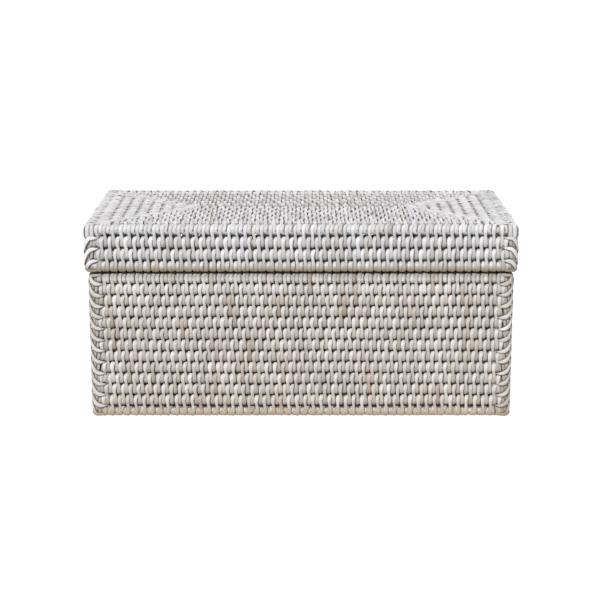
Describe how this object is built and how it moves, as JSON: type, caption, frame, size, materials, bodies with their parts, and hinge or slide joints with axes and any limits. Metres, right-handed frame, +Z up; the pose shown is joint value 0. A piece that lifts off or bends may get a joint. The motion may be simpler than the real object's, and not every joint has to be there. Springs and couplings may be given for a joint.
{
  "type": "lidded rattan box",
  "caption": "Rectangular lidded box of coiled, whitewashed rattan, with a hinged shallow lid, bound corner posts and a flat coiled top and bottom.",
  "frame": {"origin": "middle of the underside, on the plane that the box stands on", "axes": "+Z up, +X along the long side to the right, the front faces -Y and the hinge is on the +Y side"},
  "size_m": [0.34, 0.166, 0.1572],
  "materials": {
    "lid_peel": "whitewashed rattan peel, matt",
    "base_peel": "whitewashed rattan peel, matt, warmer towards the bottom",
    "hinge_peel": "whitewashed rattan peel, matt",
    "core_rod": "natural rattan core, matt"
  },
  "bodies": {
    "base": {"base_bottom_ring_1": "core_rod", "base_bottom_ring_2": "core_rod", "base_bottom_ring_3": "core_rod", "base_bottom_ring_4": "core_rod", "base_bottom_ring_5": "core_rod", "base_bottom_ring_6": "core_rod", "base_bottom_ring_7": "core_rod", "base_bottom_ring_8": "core_rod", "base_bottom_weave": "base_peel", "base_corner_binding_back_left": "base_peel", "base_corner_binding_back_right": "base_peel", "base_corner_binding_front_left": "base_peel", "base_corner_binding_front_right": "base_peel", "base_corner_posts": "core_rod", "base_rod_row_01": "core_rod", "base_rod_row_02": "core_rod", "base_rod_row_03": "core_rod", "base_rod_row_04": "core_rod", "base_rod_row_05": "core_rod", "base_rod_row_06": "core_rod", "base_rod_row_07": "core_rod", "base_rod_row_08": "core_rod", "base_rod_row_09": "core_rod", "base_rod_row_10": "core_rod", "base_rod_row_11": "core_rod", "base_rod_row_12": "core_rod", "base_rod_row_13": "core_rod", "base_weave_back": "base_peel", "base_weave_front": "base_peel", "base_weave_left": "base_peel", "base_weave_right": "base_peel"},
    "lid": {"hinge_loop_left": "hinge_peel", "hinge_loop_right": "hinge_peel", "lid_corner_binding_back_left": "lid_peel", "lid_corner_binding_back_right": "lid_peel", "lid_corner_binding_front_left": "lid_peel", "lid_corner_binding_front_right": "lid_peel", "lid_corner_posts": "core_rod", "lid_rod_row_01": "core_rod", "lid_rod_row_02": "core_rod", "lid_rod_row_03": "core_rod", "lid_rod_row_04": "core_rod", "lid_top_ring_1": "core_rod", "lid_top_ring_2": "core_rod", "lid_top_ring_3": "core_rod", "lid_top_ring_4": "core_rod", "lid_top_ring_5": "core_rod", "lid_top_ring_6": "core_rod", "lid_top_ring_7": "core_rod", "lid_top_ring_8": "core_rod", "lid_top_weave": "lid_peel", "lid_weave_back": "lid_peel", "lid_weave_front": "lid_peel", "lid_weave_left": "lid_peel", "lid_weave_right": "lid_peel"}
  },
  "joints": [
    {"name": "lid_hinge", "type": "hinge", "parent": "base", "child": "lid", "pos_m": [0, 0.0757, 0.1137], "axis": [-1, 0, 0], "range_deg": [0, 95]}
  ]
}
